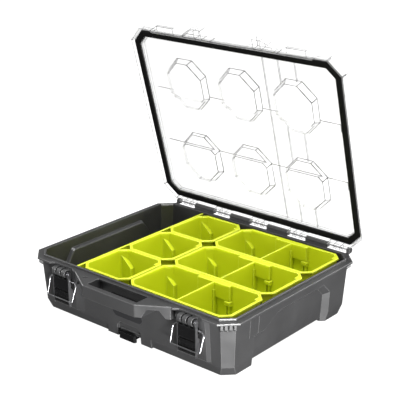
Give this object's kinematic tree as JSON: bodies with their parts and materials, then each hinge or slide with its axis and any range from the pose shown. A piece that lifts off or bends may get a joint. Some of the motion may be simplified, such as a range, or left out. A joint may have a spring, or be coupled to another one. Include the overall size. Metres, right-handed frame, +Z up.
{
  "type": "small parts organizer",
  "caption": "Flat moulded organizer case with a clear hinged lid, carry handle, two wire latches, lift-out parts bins in a tray and an open side compartment.",
  "frame": {"origin": "middle of the bottom of the object's box, on the surface that the feet stand on, with the lid open as in the picture", "axes": "+X to the right along the front, +Y from the handle to the hinge, +Z up"},
  "size_m": [0.525, 0.4722, 0.5469],
  "materials": {
    "case": "grained grey plastic",
    "plate": "smooth dark inlay",
    "clear": "clear polycarbonate",
    "gasket": "black seal",
    "bins": "satin yellow-green plastic",
    "latch": "black plastic",
    "steel": "zinc plated steel"
  },
  "bodies": {
    "case": {"case_base": "case", "name_plate": "plate", "hinge_pins": "steel", "left_latch_pin": "steel", "right_latch_pin": "steel", "stack_latch_cover": "case", "cover_screws": "steel", "stack_latch_spring": "steel"},
    "lid": {"lid_shell": "clear", "lid_gasket": "gasket"},
    "left_lever": {"left_latch_lever": "latch", "left_latch_bracket": "steel"},
    "left_bail": {"left_latch_bail": "steel"},
    "right_lever": {"right_latch_lever": "latch", "right_latch_bracket": "steel"},
    "right_bail": {"right_latch_bail": "steel"},
    "tray": {"bin_tray": "bins"},
    "stack_button": {"stack_latch": "latch"},
    "small_bin_front": {"small_bin_front": "bins"},
    "double_bin_front": {"double_bin_front": "bins"},
    "divider_front": {"divider_front": "bins"},
    "small_bin_middle": {"small_bin_middle": "bins"},
    "double_bin_middle": {"double_bin_middle": "bins"},
    "divider_middle": {"divider_middle": "bins"},
    "small_bin_back": {"small_bin_back": "bins"},
    "double_bin_back": {"double_bin_back": "bins"},
    "divider_back": {"divider_back": "bins"}
  },
  "joints": [
    {"name": "lid_hinge", "type": "hinge", "parent": "case", "child": "lid", "pos_m": [0, 0.22281, 0.117], "axis": [-1, 0, 0], "range_deg": [-74.25, 36]},
    {"name": "left_lever_hinge", "type": "hinge", "parent": "case", "child": "left_lever", "pos_m": [-0.1625, -0.20239, 0.102], "axis": [-1, 0, 0], "range_deg": [0, 110]},
    {"name": "left_bail_hinge", "type": "hinge", "parent": "left_lever", "child": "left_bail", "pos_m": [-0.1625, -0.19589, 0.084], "axis": [1, 0, 0], "range_deg": [-143.3, 0]},
    {"name": "right_lever_hinge", "type": "hinge", "parent": "case", "child": "right_lever", "pos_m": [0.1625, -0.20239, 0.102], "axis": [-1, 0, 0], "range_deg": [0, 110]},
    {"name": "right_bail_hinge", "type": "hinge", "parent": "right_lever", "child": "right_bail", "pos_m": [0.1625, -0.19589, 0.084], "axis": [1, 0, 0], "range_deg": [-143.3, 0]},
    {"name": "tray_lift", "type": "slide", "parent": "case", "child": "tray", "axis": [0, 0, 1], "range_m": [0, 0.08]},
    {"name": "small_bin_front_lift", "type": "slide", "parent": "tray", "child": "small_bin_front", "axis": [0, 0, 1], "range_m": [0, 0.08]},
    {"name": "double_bin_front_lift", "type": "slide", "parent": "tray", "child": "double_bin_front", "axis": [0, 0, 1], "range_m": [0, 0.08]},
    {"name": "divider_front_lift", "type": "slide", "parent": "double_bin_front", "child": "divider_front", "axis": [0, 0, 1], "range_m": [0, 0.08]},
    {"name": "small_bin_middle_lift", "type": "slide", "parent": "tray", "child": "small_bin_middle", "axis": [0, 0, 1], "range_m": [0, 0.08]},
    {"name": "double_bin_middle_lift", "type": "slide", "parent": "tray", "child": "double_bin_middle", "axis": [0, 0, 1], "range_m": [0, 0.08]},
    {"name": "divider_middle_lift", "type": "slide", "parent": "double_bin_middle", "child": "divider_middle", "axis": [0, 0, 1], "range_m": [0, 0.08]},
    {"name": "small_bin_back_lift", "type": "slide", "parent": "tray", "child": "small_bin_back", "axis": [0, 0, 1], "range_m": [0, 0.08]},
    {"name": "double_bin_back_lift", "type": "slide", "parent": "tray", "child": "double_bin_back", "axis": [0, 0, 1], "range_m": [0, 0.08]},
    {"name": "divider_back_lift", "type": "slide", "parent": "double_bin_back", "child": "divider_back", "axis": [0, 0, 1], "range_m": [0, 0.08]},
    {"name": "stack_latch_push", "type": "slide", "parent": "case", "child": "stack_button", "axis": [0, 1, 0], "range_m": [0, 0.005], "stiffness_N_per_m": 800, "springref_m": -0.004, "deforming": ["stack_latch_spring"]}
  ]
}
